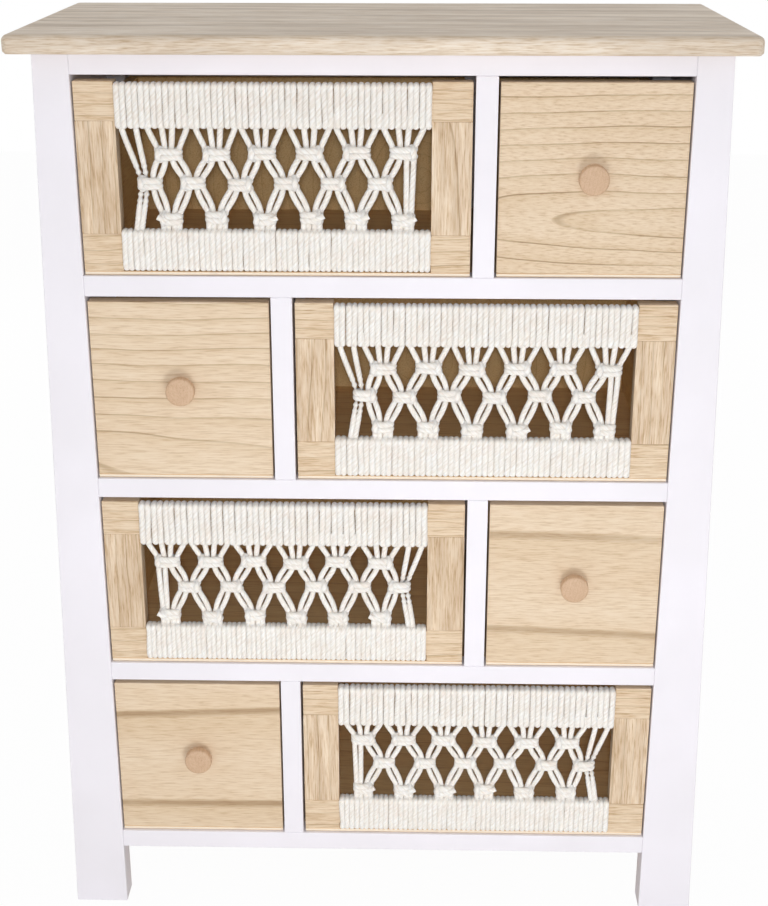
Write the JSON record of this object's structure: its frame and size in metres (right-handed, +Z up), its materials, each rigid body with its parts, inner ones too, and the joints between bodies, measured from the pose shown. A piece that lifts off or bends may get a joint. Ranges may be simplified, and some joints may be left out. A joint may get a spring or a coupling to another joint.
{
  "type": "chest of drawers",
  "caption": "Tall narrow chest of drawers with a white wooden frame, a plain wooden top, small knobbed drawers and wide drawers fronted with knotted cord panels.",
  "frame": {"origin": "middle of the bounding box's footprint, on the floor under the feet", "axes": "+Z up, front with the drawers faces -Y, +X to the right seen from the front"},
  "size_m": [0.602, 0.29, 0.833],
  "materials": {
    "white_painted_wood": "satin white paint on wood",
    "top_board_wood": "matt greyish paulownia with open grain",
    "drawer_wood": "bare pale paulownia",
    "drawer_plywood": "bare thin plywood",
    "runner_wood": "bare softwood strip",
    "knob_wood": "turned wood, satin",
    "cotton_cord": "twisted undyed cotton cord"
  },
  "bodies": {
    "carcass": {"top_board": "top_board_wood", "front_left_post": "white_painted_wood", "front_right_post": "white_painted_wood", "rear_left_post": "white_painted_wood", "rear_right_post": "white_painted_wood", "left_side_panel": "white_painted_wood", "right_side_panel": "white_painted_wood", "back_panel": "white_painted_wood", "top_front_rail": "white_painted_wood", "upper_front_rail": "white_painted_wood", "middle_front_rail": "white_painted_wood", "lower_front_rail": "white_painted_wood", "bottom_front_rail": "white_painted_wood", "top_back_rail": "white_painted_wood", "row_back_rails": "white_painted_wood", "row_1_divider": "white_painted_wood", "row_2_divider": "white_painted_wood", "row_3_divider": "white_painted_wood", "row_4_divider": "white_painted_wood", "left_runners": "runner_wood", "centre_runners": "runner_wood", "right_runners": "runner_wood"},
    "wide_drawer_1": {"wide_drawer_1_bottom": "drawer_plywood", "wide_drawer_1_box": "drawer_wood", "wide_drawer_1_front_rails": "drawer_wood", "wide_drawer_1_front_stiles": "drawer_wood", "wide_drawer_1_macrame": "cotton_cord"},
    "small_drawer_1": {"small_drawer_1_bottom": "drawer_plywood", "small_drawer_1_box": "drawer_wood", "small_drawer_1_front": "drawer_wood", "small_drawer_1_knob": "knob_wood"},
    "wide_drawer_2": {"wide_drawer_2_bottom": "drawer_plywood", "wide_drawer_2_box": "drawer_wood", "wide_drawer_2_front_rails": "drawer_wood", "wide_drawer_2_front_stiles": "drawer_wood", "wide_drawer_2_macrame": "cotton_cord"},
    "small_drawer_2": {"small_drawer_2_bottom": "drawer_plywood", "small_drawer_2_box": "drawer_wood", "small_drawer_2_front": "drawer_wood", "small_drawer_2_knob": "knob_wood"},
    "wide_drawer_3": {"wide_drawer_3_bottom": "drawer_plywood", "wide_drawer_3_box": "drawer_wood", "wide_drawer_3_front_rails": "drawer_wood", "wide_drawer_3_front_stiles": "drawer_wood", "wide_drawer_3_macrame": "cotton_cord"},
    "small_drawer_3": {"small_drawer_3_bottom": "drawer_plywood", "small_drawer_3_box": "drawer_wood", "small_drawer_3_front": "drawer_wood", "small_drawer_3_knob": "knob_wood"},
    "wide_drawer_4": {"wide_drawer_4_bottom": "drawer_plywood", "wide_drawer_4_box": "drawer_wood", "wide_drawer_4_front_rails": "drawer_wood", "wide_drawer_4_front_stiles": "drawer_wood", "wide_drawer_4_macrame": "cotton_cord"},
    "small_drawer_4": {"small_drawer_4_bottom": "drawer_plywood", "small_drawer_4_box": "drawer_wood", "small_drawer_4_front": "drawer_wood", "small_drawer_4_knob": "knob_wood"}
  },
  "joints": [
    {"name": "wide_drawer_1_slide", "type": "slide", "parent": "carcass", "child": "wide_drawer_1", "axis": [0, -1, 0], "range_m": [0, 0.19]},
    {"name": "small_drawer_1_slide", "type": "slide", "parent": "carcass", "child": "small_drawer_1", "axis": [0, -1, 0], "range_m": [0, 0.19]},
    {"name": "wide_drawer_2_slide", "type": "slide", "parent": "carcass", "child": "wide_drawer_2", "axis": [0, -1, 0], "range_m": [0, 0.19]},
    {"name": "small_drawer_2_slide", "type": "slide", "parent": "carcass", "child": "small_drawer_2", "axis": [0, -1, 0], "range_m": [0, 0.19]},
    {"name": "wide_drawer_3_slide", "type": "slide", "parent": "carcass", "child": "wide_drawer_3", "axis": [0, -1, 0], "range_m": [0, 0.19]},
    {"name": "small_drawer_3_slide", "type": "slide", "parent": "carcass", "child": "small_drawer_3", "axis": [0, -1, 0], "range_m": [0, 0.19]},
    {"name": "wide_drawer_4_slide", "type": "slide", "parent": "carcass", "child": "wide_drawer_4", "axis": [0, -1, 0], "range_m": [0, 0.19]},
    {"name": "small_drawer_4_slide", "type": "slide", "parent": "carcass", "child": "small_drawer_4", "axis": [0, -1, 0], "range_m": [0, 0.19]}
  ]
}
